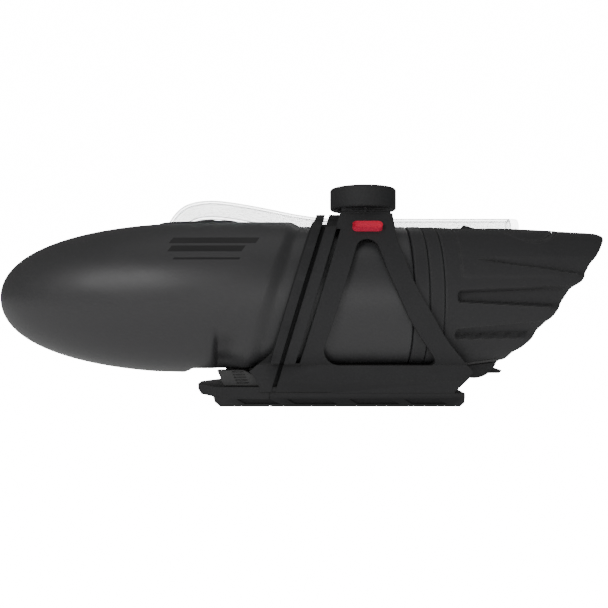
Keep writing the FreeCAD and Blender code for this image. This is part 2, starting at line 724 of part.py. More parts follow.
os.makedirs("parts", exist_ok=True)
for node, shape in all_parts().items():
    print("%-22s %9.0f mm3, %d solid, valid %s" % (node, shape.Volume, len(shape.Solids), shape.isValid()))
    shape.exportStep("parts/" + node + ".step")
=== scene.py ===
# %% [markdown]
# A handlebar hydration bottle in its cage. The engineering model gives every part its place, its size and
# its motion. This lesson gives the parts their looks: smooth moulded skins, soft edges, and finishes that
# behave like the real plastics and rubbers. First the frame is loaded, because every new piece is measured
# from it, and all but the straw ride on one of its bodies.

# %% Load the frame
import math
import bpy
import numpy as np
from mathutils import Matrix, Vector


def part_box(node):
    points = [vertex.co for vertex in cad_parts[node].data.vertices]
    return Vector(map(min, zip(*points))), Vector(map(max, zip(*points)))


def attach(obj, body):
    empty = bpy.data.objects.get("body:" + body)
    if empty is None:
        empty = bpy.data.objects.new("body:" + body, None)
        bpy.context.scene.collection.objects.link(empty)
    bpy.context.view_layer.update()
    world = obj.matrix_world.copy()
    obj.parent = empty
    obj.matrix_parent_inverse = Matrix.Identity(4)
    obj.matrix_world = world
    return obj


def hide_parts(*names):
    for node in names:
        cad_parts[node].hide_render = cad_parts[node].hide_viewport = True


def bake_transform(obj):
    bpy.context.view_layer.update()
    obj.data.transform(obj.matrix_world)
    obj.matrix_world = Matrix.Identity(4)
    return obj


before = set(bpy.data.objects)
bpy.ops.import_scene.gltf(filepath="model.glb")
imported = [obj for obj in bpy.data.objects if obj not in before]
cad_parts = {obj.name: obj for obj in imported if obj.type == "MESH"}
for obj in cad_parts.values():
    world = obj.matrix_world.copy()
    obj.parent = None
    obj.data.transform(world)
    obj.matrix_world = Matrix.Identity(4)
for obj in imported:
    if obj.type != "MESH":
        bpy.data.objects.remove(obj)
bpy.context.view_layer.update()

# %% [markdown]
# The few sizes that the skins share are read from the frame, so that a new engineering model carries them
# along. The rear barrel and the rings share one radius and one axis; the straw lies just inside their top.

# %% Shared sizes, in metres
MM = 0.001
ring_low, ring_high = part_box("collar_ring")
shell_low, shell_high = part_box("bottle_shell")
tip_low, tip_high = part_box("straw_tip")
SLEEVE_R = (ring_high[1] - ring_low[1]) / 2
AXIS_Z = ring_low[2] + SLEEVE_R
BOTTLE_R = (shell_high[1] - shell_low[1]) / 2
NOSE_X = shell_low[0]
STRAW_R = (tip_high[1] - tip_low[1]) / 2
STRAW_Z = (tip_high[2] + tip_low[2]) / 2
print("axis height %.1f mm, barrel radius %.1f mm" % (AXIS_Z / MM, BOTTLE_R / MM))

# %% [markdown]
# Three small helpers do the modelling work. An operator acts on everything that is selected, so each step
# starts by deselecting. `rolled` adds a grid primitive and rolls it up: a function of two numbers, the turn
# around and the run along, says where each corner goes. That suits bottles, rings and boots, which are
# tubes whose section changes along them.

# %% Modelling helpers
def deselect():
    for thing in list(bpy.context.selected_objects):
        thing.select_set(False)
    bpy.context.view_layer.objects.active = None


def edit(piece, *steps):
    """Runs (operator, settings) steps on all of a piece in edit mode."""
    deselect()
    piece.select_set(True)
    bpy.context.view_layer.objects.active = piece
    bpy.ops.object.mode_set(mode="EDIT")
    for operator, settings in steps:
        bpy.ops.mesh.select_all(action="SELECT")
        operator(**settings)
    bpy.ops.object.mode_set(mode="OBJECT")


def corners_of(piece):
    flat = np.empty(len(piece.data.vertices) * 3)
    piece.data.vertices.foreach_get("co", flat)
    return flat.reshape(-1, 3)


def move_corners(piece, points):
    piece.data.vertices.foreach_set("co", np.asarray(points, dtype=float).ravel())
    piece.data.update()


def rolled(name, around, along, place):
    deselect()
    bpy.ops.mesh.primitive_grid_add(x_subdivisions=around, y_subdivisions=along, size=1)
    piece = bpy.context.object
    piece.name = name
    flat = corners_of(piece) + 0.5
    move_corners(piece, place(flat[:, 0], flat[:, 1]))
    edit(piece, (bpy.ops.mesh.remove_doubles, {"threshold": 2e-6}),
         (bpy.ops.mesh.normals_make_consistent, {"inside": False}))
    bpy.ops.object.shade_smooth()
    print("%s: %d faces" % (name, len(piece.data.polygons)))
    return piece


def apply_modifier(piece, kind, **settings):
    deselect()
    piece.select_set(True)
    bpy.context.view_layer.objects.active = piece
    modifier = piece.modifiers.new("step", kind)
    for setting, value in settings.items():
        setattr(modifier, setting, value)
    bpy.ops.object.modifier_apply(modifier=modifier.name)


def smooth_step(value, low, high):
    t = np.clip((value - low) / (high - low), 0, 1)
    return t * t * (3 - 2 * t)


# %% [markdown]
# Moulded parts have no sharp edges: the tool's corners are rounded, and so are the part's. The engineering
# solids have sharp ones. For a small part, a copy of the solid is rebuilt on a fine voxel grid and then
# relaxed, which rounds every edge by about a voxel, as a mould does. A bevel would need clean edge loops,
# which a triangulated solid doesn't have.

# %% Rounded copies of small moulded parts
def moulded_copy(node, voxel, relax):
    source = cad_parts[node]
    piece = source.copy()
    piece.data = source.data.copy()
    piece.parent = None
    piece.name = node + "_moulded"
    bpy.context.collection.objects.link(piece)
    edit(piece, (bpy.ops.mesh.remove_doubles, {"threshold": 2e-6}))
    bpy.ops.mesh.customdata_custom_splitnormals_clear()
    piece.data.use_remesh_preserve_attributes = False
    piece.data.remesh_voxel_size = voxel
    bpy.ops.object.voxel_remesh()
    edit(piece, (bpy.ops.mesh.vertices_smooth, {"factor": 0.5, "repeat": relax}))
    bpy.ops.object.shade_smooth()
    print("%s: %d faces" % (piece.name, len(piece.data.polygons)))
    return piece


# %% [markdown]
# Every finish is built from the same few nodes. One function turns the hex values of a paint chart into
# the linear numbers that the shader wants, and one adds a node with its settings and links.

# %% Finish helpers
def hex_colour(code):
    parts = [int(code[i:i + 2], 16) / 255 for i in (1, 3, 5)]
    linear = [c / 12.92 if c <= 0.04045 else ((c + 0.055) / 1.055) ** 2.4 for c in parts]
    return linear + [1.0]


def add(tree, kind, inputs=None, **settings):
    node = tree.nodes.new(kind)
    for setting, value in settings.items():
        setattr(node, setting, value)
    for socket, value in (inputs or {}).items():
        if isinstance(value, bpy.types.NodeSocket):
            tree.links.new(value, node.inputs[socket])
        else:
            node.inputs[socket].default_value = value
    return node


def new_finish(name):
    finish = bpy.data.materials.new(name)
    finish.use_nodes = True
    tree = finish.node_tree
    shader = tree.nodes["Principled BSDF"]
    coords = add(tree, "ShaderNodeTexCoord").outputs["Object"]
    return finish, tree, shader, coords


# %% [markdown]
# Moulded plastic and rubber are one colour all through, yet never look flat. The melt flows and cools
# unevenly, which shows as faint clouds some millimetres wide; the tool's spark-eroded texture shows as a
# fine grain; and convex edges get a painted highlight, a little lighter, where they catch the light.
# `moulded` gives all three. The grain's size is stated in millimetres, and it is drawn a little coarser
# than the real 0.05 to 0.1 mm so that it shows.

# %% One recipe for moulded materials
def moulded(name, base, cloud, edge, roughness, spread, grain_mm, depth_mm, cloud_mm,
            shine=0.5, soft_mm=0.35):
    finish, tree, shader, coords = new_finish(name)
    clouds = add(tree, "ShaderNodeTexNoise", {"Vector": coords, "Scale": 1000 / cloud_mm, "Detail": 3.0})
    tint = add(tree, "ShaderNodeMixRGB", {"Fac": clouds.outputs["Fac"], "Color1": hex_colour(base),
                                          "Color2": hex_colour(cloud)})
    # the edge colour is a painted highlight: convex edges, found by pointiness, are mixed towards it as if
    # they caught the light
    edges = add(tree, "ShaderNodeNewGeometry").outputs["Pointiness"]
    painted_edge_highlight = add(tree, "ShaderNodeMapRange", {"Value": edges, "From Min": 0.515, "From Max": 0.58,
                                            "To Min": 0.0, "To Max": 0.6})
    colour = add(tree, "ShaderNodeMixRGB", {"Fac": painted_edge_highlight.outputs["Result"], "Color1": tint.outputs["Color"],
                                            "Color2": hex_colour(edge)})
    rough = add(tree, "ShaderNodeMapRange", {"Value": clouds.outputs["Fac"],
                                             "From Min": 0.3, "From Max": 0.7,
                                             "To Min": roughness - spread, "To Max": roughness + spread})
    grain = add(tree, "ShaderNodeTexNoise", {"Vector": coords, "Scale": 1000 / grain_mm, "Detail": 2.0})
    bump = add(tree, "ShaderNodeBump", {"Height": grain.outputs["Fac"], "Distance": depth_mm * MM,
                                        "Strength": 1.0})
    tree.links.new(colour.outputs["Color"], shader.inputs["Base Color"])
    tree.links.new(rough.outputs["Result"], shader.inputs["Roughness"])
    softened = add(tree, "ShaderNodeBevel", {"Radius": soft_mm * MM}, samples=4)
    tree.links.new(softened.outputs["Normal"], bump.inputs["Normal"])
    tree.links.new(bump.outputs["Normal"], shader.inputs["Normal"])
    shader.inputs["Specular IOR Level"].default_value = shine
    return finish, tree, colour


# in each finish below, the third colour is the painted highlight on convex edges
# glass-filled nylon, moulded against a spark-eroded tool: near black, dull, with a fine even grain
nylon, _, _ = moulded("glass_filled_nylon", "#232324", "#282829", "#3c3c3d",
                      0.72, 0.05, 0.45, 0.03, 14, 0.25)
# plain nylon, moulded against a polished tool: a touch smoother than the cage
smooth_nylon, _, _ = moulded("polished_nylon", "#303031", "#343435", "#434344",
                             0.66, 0.04, 0.6, 0.012, 18, 0.25)
# thermoplastic elastomer: soft, matt, soaks up light and shows wide faint clouds
elastomer, _, _ = moulded("thermoplastic_elastomer", "#363637", "#3a3a3b", "#484849",
                          0.72, 0.05, 0.35, 0.02, 20, 0.3)
# polypropylene: waxy, close to the elastomer's black but glossier
polypropylene, _, _ = moulded("polypropylene", "#323233", "#363637", "#464647",
                              0.55, 0.05, 0.5, 0.015, 16, 0.35)
# pad rubber is a lighter grey than the rest
pad_rubber, _, _ = moulded("grey_pad_rubber", "#464646", "#4c4c4c", "#565656",
                           0.7, 0.04, 0.35, 0.02, 8, 0.3)

# %% [markdown]
# The bottle is blow-moulded polyethylene. Blowing leaves a skin like fine orange peel, a satin shine and no
# hard texture. The dark print on its flank is ink, laid only where two windows on height and length say so:
# three plain bars with slanted ends stand in for printed lettering, because lettering isn't copied.

# %% Bottle finish with its printed bars
# the third colour is the painted highlight on the shell's convex edges
satin_shell, tree, shell_colour = moulded("satin_polyethylene", "#363637", "#3b3b3c", "#454547", 0.42, 0.05,
                                          1.6, 0.02, 30, 0.5)
coords = add(tree, "ShaderNodeTexCoord").outputs["Object"]
axes = add(tree, "ShaderNodeSeparateXYZ", {"Vector": coords})


def in_band(value, low, high):
    """1 where value lies between low and high."""
    above = add(tree, "ShaderNodeMath", {0: value, 1: low}, operation="GREATER_THAN").outputs[0]
    below = add(tree, "ShaderNodeMath", {0: value, 1: high}, operation="LESS_THAN").outputs[0]
    return add(tree, "ShaderNodeMath", {0: above, 1: below}, operation="MULTIPLY").outputs[0]


# each bar's front, back, underside and top, in millimetres
PRINT_BARS = [(-78.0, -36.0, 80.4, 83.4), (-78.0, -42.5, 76.2, 79.2), (-75.5, -44.0, 72.2, 73.2)]
PRINT_SLANT = -0.6    # the bars' ends move back this much for each unit of height
slanted = add(tree, "ShaderNodeMath", {0: axes.outputs["Z"], 1: PRINT_SLANT, 2: axes.outputs["X"]},
              operation="MULTIPLY_ADD").outputs[0]
inked = None
for x0, x1, z0, z1 in PRINT_BARS:
    shift = PRINT_SLANT * (z0 + z1) / 2
    bar = add(tree, "ShaderNodeMath", {0: in_band(axes.outputs["Z"], z0 * MM, z1 * MM),
                                       1: in_band(slanted, (x0 + shift) * MM, (x1 + shift) * MM)},
              operation="MULTIPLY").outputs[0]
    inked = bar if inked is None else add(tree, "ShaderNodeMath", {0: inked, 1: bar},
                                          operation="MAXIMUM").outputs[0]
printed = add(tree, "ShaderNodeMixRGB", {"Fac": inked, "Color1": shell_colour.outputs["Color"],
                                         "Color2": hex_colour("#0b0b0c")})
tree.links.new(printed.outputs["Color"], tree.nodes["Principled BSDF"].inputs["Base Color"])

# %% [markdown]
# The straw is clear polyurethane, so what shows most is its outline: face on, its wall lets two thirds of
# the light through, and at a grazing angle it reflects and turns grey. A Layer Weight node drives the
# opacity that way. The valve on its end is silicone, which is cloudy.

# %% Clear and metal finishes
clear_tube, tree, shader, coords = new_finish("clear_polyurethane")
haze = add(tree, "ShaderNodeTexNoise", {"Vector": coords, "Scale": 1000 / 6, "Detail": 2.0})
rough = add(tree, "ShaderNodeMapRange", {"Value": haze.outputs["Fac"], "From Min": 0.3, "From Max": 0.7,
                                         "To Min": 0.06, "To Max": 0.16})
grazing = add(tree, "ShaderNodeLayerWeight", {"Blend": 0.5}).outputs["Facing"]
opacity = add(tree, "ShaderNodeMapRange", {"Value": grazing, "From Min": 0.35, "From Max": 0.95,
                                           "To Min": 0.32, "To Max": 1.0})
tree.links.new(rough.outputs["Result"], shader.inputs["Roughness"])
tree.links.new(opacity.outputs["Result"], shader.inputs["Alpha"])
shader.inputs["Base Color"].default_value = hex_colour("#c6cccf")
shader.inputs["IOR"].default_value = 1.33

silicone, tree, shader, coords = new_finish("cloudy_silicone")
haze = add(tree, "ShaderNodeTexNoise", {"Vector": coords, "Scale": 1000 / 3, "Detail": 2.0})
milky = add(tree, "ShaderNodeMixRGB", {"Fac": haze.outputs["Fac"], "Color1": hex_colour("#eef1f2"),
                                       "Color2": hex_colour("#e2e6e8")})
tree.links.new(milky.outputs["Color"], shader.inputs["Base Color"])
shader.inputs["Transmission Weight"].default_value = 0.6
shader.inputs["Alpha"].default_value = 0.35
shader.inputs["Roughness"].default_value = 0.3
shader.inputs["IOR"].default_value = 1.41


def turned_metal(name, base, streak, roughness):
    """Metal off the lathe: fine rings about the screw's own axis, stretched noise in X and Y only."""
    finish, tree, shader, coords = new_finish(name)
    flat = add(tree, "ShaderNodeMapping", {"Vector": coords, "Scale": (4000, 4000, 300)})
    rings = add(tree, "ShaderNodeTexNoise", {"Vector": flat.outputs["Vector"], "Scale": 1.0, "Detail": 3.0})
    colour = add(tree, "ShaderNodeMixRGB", {"Fac": rings.outputs["Fac"], "Color1": hex_colour(base),
                                            "Color2": hex_colour(streak)})
    bump = add(tree, "ShaderNodeBump", {"Height": rings.outputs["Fac"], "Distance": 0.01 * MM})
    tree.links.new(colour.outputs["Color"], shader.inputs["Base Color"])
    tree.links.new(bump.outputs["Normal"], shader.inputs["Normal"])
    shader.inputs["Metallic"].default_value = 1.0
    shader.inputs["Roughness"].default_value = roughness
    return finish


stainless = turned_metal("stainless_steel", "#8f8f92", "#a5a5a8", 0.32)
brass = turned_metal("turned_brass", "#c7a052", "#d9b76b", 0.28)

# red pad-print ink: a thin film that follows the nylon's grain, slightly glossier than the plastic
# the third colour is the painted highlight on the film's convex edges
red_ink, _, _ = moulded("red_pad_print_ink", "#e02a4c", "#e63254", "#e84060",
                        0.7, 0.04, 0.45, 0.01, 6, 0.3, 0.01)


# %% Dress a piece: finish, body, and the nodes it stands for
def dress(piece, finish, body, slot, *nodes):
    piece.data.materials.clear()
    piece.data.materials.append(finish)
    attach(piece, body)
    if nodes:
        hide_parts(*nodes)


# %% [markdown]
# The straw comes first, because the bottle's channel is shaped around it. It is one clear tube that leaves
# the nose, bends back and lies along the top. A NURBS curve of order 3 runs smoothly near its control
# points. Its drinking end lifts.

# %% Drinking straw
STRAW_ROUTE = [(-86.0, -12.8), (-79.5, 5.2), (-66.0, 10.4), (-45.0, 7.8), (-8.0, 0), (18.0, 0), (33.0, 0),
               (45.0, 0), (57.0, 0), (75.0, 0)]
STRAW_END_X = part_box("straw_tip")[1][0]
STRAW_WALL = 1.3 * MM


def straw_curve(name, bevel):
    curve = bpy.data.curves.new(name, "CURVE")
    curve.dimensions = "3D"
    line = curve.splines.new("NURBS")
    route = [(x * MM, rise * MM) for x, rise in STRAW_ROUTE] + [(STRAW_END_X, 0)]
    line.points.add(len(route) - 1)
    for point, (x, rise) in zip(line.points, route):
        point.co = (x, 0, STRAW_Z + rise, 1)
    line.order_u = 3
    line.use_endpoint_u = True
    line.resolution_u = 12
    curve.bevel_depth = bevel
    curve.bevel_resolution = 10
    piece = bpy.data.objects.new(name, curve)
    bpy.context.collection.objects.link(piece)
    return piece


centre = straw_curve("straw_centre", 0)
sampled = bpy.data.meshes.new_from_object(centre)
straw_line = np.array([v.co[:] for v in sampled.vertices])
bpy.data.objects.remove(centre)
bpy.data.meshes.remove(sampled)

straw = straw_curve("drinking_straw", STRAW_R)
deselect()
straw.select_set(True)
bpy.context.view_layer.objects.active = straw
bpy.ops.object.convert(target="MESH")
edit(straw, (bpy.ops.mesh.remove_doubles, {"threshold": 2e-6}),
     (bpy.ops.mesh.normals_make_consistent, {"inside": False}))
apply_modifier(straw, "SOLIDIFY", thickness=STRAW_WALL, offset=-1)
bpy.ops.object.shade_smooth_by_angle(angle=math.radians(50))
straw.data.materials.append(clear_tube)
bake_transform(straw)
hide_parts("straw_tube", "straw_flex", "straw_tip")
print("straw from x = %.0f to %.0f mm" % (straw_line[0, 0] / MM, straw_line[-1, 0] / MM))

# %% [markdown]
# The bottle's skins all have the straw's channel along their top. A rolled grid has straight columns of
# corners along the piece, so two of those columns are put exactly on the channel's two edges. Corners
# between them are then let down onto a round groove that follows the straw.

# %% Channel and column spacing
GROOVE_R = STRAW_R + 0.6 * MM
GROOVE_START_X = -52 * MM


def column_angle(turn):
    """Angle from the top for each turn, with columns on both edges of the channel."""
    inner = math.asin(0.985 * GROOVE_R / SLEEVE_R)
    outer = math.asin(1.03 * GROOVE_R / SLEEVE_R)
    half = np.minimum(turn, 1 - turn)
    angle = np.interp(half, [0, 0.05, 0.05625, 0.5], [0, inner, outer, math.pi])
    return np.where(turn <= 0.5, angle, 2 * math.pi - angle)


def sink_channel(x, y, z, extra=0.0):
    ahead = straw_line[:, 0] > -60 * MM
    height = np.interp(x, straw_line[ahead, 0], straw_line[ahead, 2])
    floor = height - np.sqrt(np.maximum(GROOVE_R ** 2 - y ** 2, 0)) - extra
    inside = (np.abs(y) < GROOVE_R) & (x > GROOVE_START_X)
    return np.where(inside, np.minimum(z, floor), z)


# %% [markdown]
# The shell is a super-ellipse nose, a barrel, a slanted shoulder, and the narrower sleeve that the cage
# grips. Its corners are first placed on a body of revolution whose rings lean back with the cage's hoops,
# so that the shoulder's edge is clean. Then the belly is flattened, a finger pocket is pressed into each
# flank, and the channel is let in.

# %% Bottle shell
NOSE_LENGTH = 116 * MM
NOSE_SHARPNESS = 2.35
NOSE_FULLNESS = 0.44
LEAN = 0.305
SHOULDER_FRONT = -33.5 * MM
SHOULDER_BACK = -25.5 * MM
BELLY_X = np.array([-90, -83, -75, -69.8, -32]) * MM
BELLY_DROP = np.array([39.6, 38.8, 38.8, 35.7, 35.7]) * MM
POCKET_DEPTH = 4.4 * MM
SLEEVE_END_X = ring_low[0]
SLEEVE_CHAMFER = 0.9 * MM
BELLY_SOFTNESS = 0.6 * MM
NOSE_SHARE = 0.35    # the nose takes this share of the run, so its strong curve gets close rings
SKIN_SHARE = 0.97    # from here on the run closes the sleeve's end with a flat disc


def nose_radius(x):
    s = np.clip((x - NOSE_X) / NOSE_LENGTH, 0, 1)
    return BOTTLE_R * (1 - (1 - s) ** NOSE_SHARPNESS) ** NOSE_FULLNESS


def shell_point(turn, run):
    angle = column_angle(turn)
    nose = (np.clip(run / NOSE_SHARE, 0, 1) ** 2) * NOSE_LENGTH + NOSE_X
    nose_end = NOSE_X + NOSE_LENGTH
    rest = nose_end + (run - NOSE_SHARE) / (SKIN_SHARE - NOSE_SHARE) * (SLEEVE_END_X - nose_end)
    x = np.where(run < NOSE_SHARE, nose, np.minimum(rest, SLEEVE_END_X))
    radius = np.where(run < NOSE_SHARE, nose_radius(x), BOTTLE_R)
    shoulder = smooth_step(x, SHOULDER_FRONT, SHOULDER_BACK)
    radius = radius + shoulder * (SLEEVE_R - BOTTLE_R)
    radius = radius - SLEEVE_CHAMFER * smooth_step(x, SLEEVE_END_X - SLEEVE_CHAMFER, SLEEVE_END_X) ** 2
    radius = np.where(run > SKIN_SHARE, radius * (1 - run) / (1 - SKIN_SHARE), radius)
    lean = smooth_step(x, -62 * MM, -42 * MM) * (1 - smooth_step(x, -12 * MM, 25 * MM))
    pocket = smooth_step(x, -57.5 * MM, -51.5 * MM) * (1 - smooth_step(x, -44 * MM, -30 * MM))
    height = radius * np.cos(angle)
    pocket = pocket * (1 - smooth_step(height, -27 * MM, -11 * MM))
    pocket = pocket * smooth_step(np.sin(angle) ** 2, 0.05, 0.3)
    radius = radius - POCKET_DEPTH * pocket
    y = radius * np.sin(angle)
    z = radius * np.cos(angle)
    x = x + LEAN * z * lean
    belly = -np.interp(x, BELLY_X, BELLY_DROP, left=1, right=1)
    blended = BELLY_SOFTNESS * np.logaddexp(z / BELLY_SOFTNESS, belly / BELLY_SOFTNESS)
    z = np.where(np.abs(belly) < 0.5, blended, z)
    z = sink_channel(x, y, AXIS_Z + z)
    return np.stack([x, y, z], axis=1)


shell = rolled("bottle_skin", 160, 230, shell_point)
dress(shell, satin_shell, "bottle", "shell", "bottle_shell")

# %% [markdown]
# Between bottle and boot sit two rings, moulded with small chamfers so that their joints show as fine dark
# lines. Each is a closed loop of a section rolled around the axis.

# %% Rings
def ring_skin(name, node, radius):
    low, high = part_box(node)
    x0, x1 = low[0] + 0.15 * MM, high[0] - 0.05 * MM
    inner = radius - 3.0 * MM
    edge = 0.45 * MM
    loop = [(x0, inner), (x0, radius - edge), (x0 + edge, radius), (x1 - edge, radius), (x1, radius - edge),
            (x1, inner), (x0, inner)]
    lengths = np.linspace(0, 1, len(loop))

    def place(turn, run):
        angle = column_angle(turn)
        x = np.interp(run, lengths, [p[0] for p in loop])
        r = np.interp(run, lengths, [p[1] for p in loop])
        y = r * np.sin(angle)
        deeper = np.where(r < radius - 1.5 * MM, 2.0 * MM, 0)
        z = sink_channel(x, y, AXIS_Z + r * np.cos(angle), deeper)
        return np.stack([x, y, z], axis=1)

    return rolled(name, 160, 6 * (len(loop) - 1), place)


collar = ring_skin("collar_ring_skin", "collar_ring", SLEEVE_R)
dress(collar, polypropylene, "bottle", "ring", "collar_ring")
seal = ring_skin("seal_ring_skin", "seal_ring", SLEEVE_R - 0.25 * MM)
dress(seal, elastomer, "bottle", "boot", "seal_ring")
for band in (collar, seal):
    edit(band)
    bpy.ops.object.shade_smooth_by_angle(angle=math.radians(40))

# %% [markdown]
# The boot is a soft elastomer moulding. It tapers, and its rear is cut off along a scalloped slant. Three
# flutes run back along each flank: the upper one is a sloped facet, the middle one a round-ended trough,
# the lower one a trough that is deepest along its lower edge. Fine lines outline the upper panel. All of
# this is height over a smooth surface, so each corner is moved in by the depth at its place. The outline
# and the flutes are drawn in millimetres, like the engineering model's.

# %% Boot surface
BOOT_FRONT_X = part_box("clamp_ring")[0][0] + 0.15 * MM
SECTION_X = np.array([53.0, 61.5, 91.0, 136.0, 151.5]) * MM
SECTION_RISE = np.array([0.1, 0.3, 2.0, 3.5, 3.9]) * MM
SECTION_R = np.array([36.75, 36.1, 34.2, 30.3, 28.9]) * MM
REAR = [(18.0, 84.0), (22.1, 89.5), (25.0, 90.0), (27.2, 90.5), (28.9, 93.8), (34.0, 98.0), (38.6, 100.7),
        (43.2, 104.0), (44.4, 105.9), (49.8, 109.4), (55.9, 113.3), (59.9, 116.1), (61.2, 119.6),
        (65.3, 122.4), (70.8, 125.7), (73.7, 128.9), (78.4, 133.0), (81.1, 135.2), (83.5, 137.6),
        (85.5, 138.6), (87.5, 137.2), (90.0, 132.0)]


def rear_x(z):
    return np.interp(z, [p[0] * MM for p in REAR], [p[1] * MM for p in REAR])


def flute_depth(x, z):
    """How far the three flutes go in, and the panel out: each lies between a top and a low line."""
    x, z = x / MM, z / MM
    top = 72.9 + 0.028 * (x - 67)
    low = 72.5 - 0.130 * (x - 67)
    slope = np.clip((top - z) / np.maximum(top - low, 0.1), 0, 1)
    upper = 2.5 * slope * smooth_step(z - low, 0, 0.7) * (z < top) * smooth_step(x, 64, 80)
    top = 57.4 + 0.046 * (x - 58.8)
    low = 52.0 - 0.050 * (x - 58.8)
    bow = 1.6 * np.abs((z - 54.7) / 3.0) ** 3
    middle = smooth_step(top - z, 0, 0.8) * smooth_step(z - low, 0, 0.9)
    middle = 3.0 * middle * smooth_step(x - bow, 58.8, 60.0)
    top = 39.2 + 0.090 * (x - 58.4)
    low = 34.1 + 0.010 * (x - 58.4)
    slope = np.clip((top - z) / np.maximum(top - low, 0.1), 0, 1)
    bow = 1.6 * np.abs((z - 36.6) / 3.0) ** 3
    lower = (1.0 + 2.4 * slope) * smooth_step(top - z, 0, 1.0) * smooth_step(z - low, 0, 0.9)
    lower = lower * smooth_step(x - bow, 58.4, 59.6)
    panel = -0.55 * smooth_step(x, 61.4, 61.8) * smooth_step(z, 63.7, 64.2) * (1 - smooth_step(x, 104, 112))
    return (upper + middle + lower + panel) * MM


def boot_radius(x, angle):
    centre_z = AXIS_Z + np.interp(x, SECTION_X, SECTION_RISE)
    smooth_r = np.interp(x, SECTION_X, SECTION_R)
    side = np.abs(np.sin(angle)) > 0.3
    radius = smooth_r - np.where(side, flute_depth(x, centre_z + smooth_r * np.cos(angle)), 0)
    return radius, centre_z


# the run's three stretches: a lip that tucks under the clamp ring, the flank, and the closed rear face
LIP_SHARE = 0.03
FLANK_SHARE = 0.85


def boot_point(turn, run):
    angle = column_angle(turn)
    end_x = np.full_like(angle, 110 * MM)
    for _ in range(40):    # where this column meets the slanted rear, found by small steps
        radius, centre_z = boot_radius(end_x, angle)
        end_x = 0.6 * end_x + 0.4 * rear_x(centre_z + radius * np.cos(angle))
    along = np.clip((run - LIP_SHARE) / (FLANK_SHARE - LIP_SHARE), 0, 1)
    x = BOOT_FRONT_X + along * (end_x - BOOT_FRONT_X)
    radius, centre_z = boot_radius(x, angle)
    radius = radius - 0.5 * MM * (1 - smooth_step(x, BOOT_FRONT_X, BOOT_FRONT_X + 0.6 * MM))
    radius = radius * np.where(run < LIP_SHARE, 0.88 + 4 * run, 1.0)
    y = radius * np.sin(angle)
    z = centre_z + radius * np.cos(angle)
    inward = np.clip((run - FLANK_SHARE) / (1 - FLANK_SHARE), 0, 1)
    z = z + (AXIS_Z - z) * inward
    y = y * (1 - inward)
    x = np.where(run > FLANK_SHARE, rear_x(z), x)
    z = sink_channel(x, y, z)
    return np.stack([x, y, z], axis=1)


boot = rolled("tail_boot_skin", 320, 165, boot_point)

# %% [markdown]
# The rear edge was made sharp. Selecting only the corners near it and relaxing them rounds it off like the
# lip of a rubber moulding. For the refill port, corners close to the oval are first moved onto it, so that
# its edge is clean, and then the faces inside are deleted. The skin gets its wall last, so that the wall
# closes around the port as well.

# %% Round the rear edge, open the port, give the boot a wall
PORT_X = 98.5 * MM
PORT_SEMI_X = 18.0 * MM
PORT_SEMI_Y = 23.4 * MM


def select_corners(piece, test):
    """Selects the corners that pass test(x, y, z), and the faces that lie wholly among them."""
    deselect()
    piece.select_set(True)
    bpy.context.view_layer.objects.active = piece
    chosen = np.array([bool(test(*vertex.co)) for vertex in piece.data.vertices])
    piece.data.vertices.foreach_set("select", chosen)
    for group in (piece.data.edges, piece.data.polygons):
        group.foreach_set("select", np.array([all(chosen[i] for i in part.vertices) for part in group]))
    bpy.ops.object.mode_set(mode="EDIT")
    bpy.ops.mesh.select_mode(type="VERT")


def near_rear_edge(x, y, z):
    return x > rear_x(z) - 4.5 * MM and math.hypot(y, z - AXIS_Z) > 16 * MM and x > 84 * MM


def port_ratio(x, y):
    return np.hypot((x - PORT_X) / PORT_SEMI_X, y / PORT_SEMI_Y)


select_corners(boot, near_rear_edge)
bpy.ops.mesh.vertices_smooth(factor=0.5, repeat=8)
bpy.ops.object.mode_set(mode="OBJECT")

points = corners_of(boot)
ratio = port_ratio(points[:, 0], points[:, 1])
near = (np.abs(ratio - 1) < 0.022) & (points[:, 2] > AXIS_Z + 20 * MM)
points[near, 0] = PORT_X + (points[near, 0] - PORT_X) / ratio[near]
points[near, 1] = points[near, 1] / ratio[near]
move_corners(boot, points)
select_corners(boot, lambda x, y, z: z > AXIS_Z + 20 * MM and port_ratio(x, y) < 1.001)
bpy.ops.mesh.delete(type="FACE")
bpy.ops.object.mode_set(mode="OBJECT")
apply_modifier(boot, "SOLIDIFY", thickness=2.2 * MM, offset=-1)
bpy.ops.object.shade_smooth_by_angle(angle=math.radians(40))
dress(boot, elastomer, "bottle", "boot", "tail_boot", "clamp_ring")
print("boot: %d faces" % len(boot.data.polygons))

# %% [markdown]
# The grommet seals the straw where it leaves the nose. It is a soft oval plug with a low bead around it
# and a saddle behind the straw, which stops the tube from kinking.

# %% Straw grommet
GROMMET_X = -69 * MM
GROMMET_SEMI = (21 * MM, 8.6 * MM)


def grommet_point(turn, run):
    angle = 2 * math.pi * turn
    out = np.interp(run, [0, 0.62, 0.75, 1], [0, 0.97, 1.0, 0])
    x = GROMMET_X + GROMMET_SEMI[0] * out * np.cos(angle)
    y = GROMMET_SEMI[1] * out * np.sin(angle)
    skin = AXIS_Z + np.sqrt(np.maximum(nose_radius(x) ** 2 - y ** 2, 0))
    bead = 0.5 * MM * np.exp(-((out - 0.86) / 0.09) ** 2)
    saddle = 1.3 * MM * np.exp(-((x + 63 * MM) / (8 * MM)) ** 2) * (1 - smooth_step(np.abs(y), 0, 8 * MM))
    top = skin + 0.25 * MM + bead + saddle
    z = np.where(run < 0.62, top, skin + np.interp(run, [0.62, 0.75, 1], [0.25, -1.5, -2.5]) * MM)
    return np.stack([x, y, z], axis=1)


grommet = rolled("straw_grommet_skin", 96, 60, grommet_point)
dress(grommet, elastomer, "bottle", "boot", "straw_grommet")

# %% [markdown]
# The bite valve is a short silicone plug with a rounded lip.

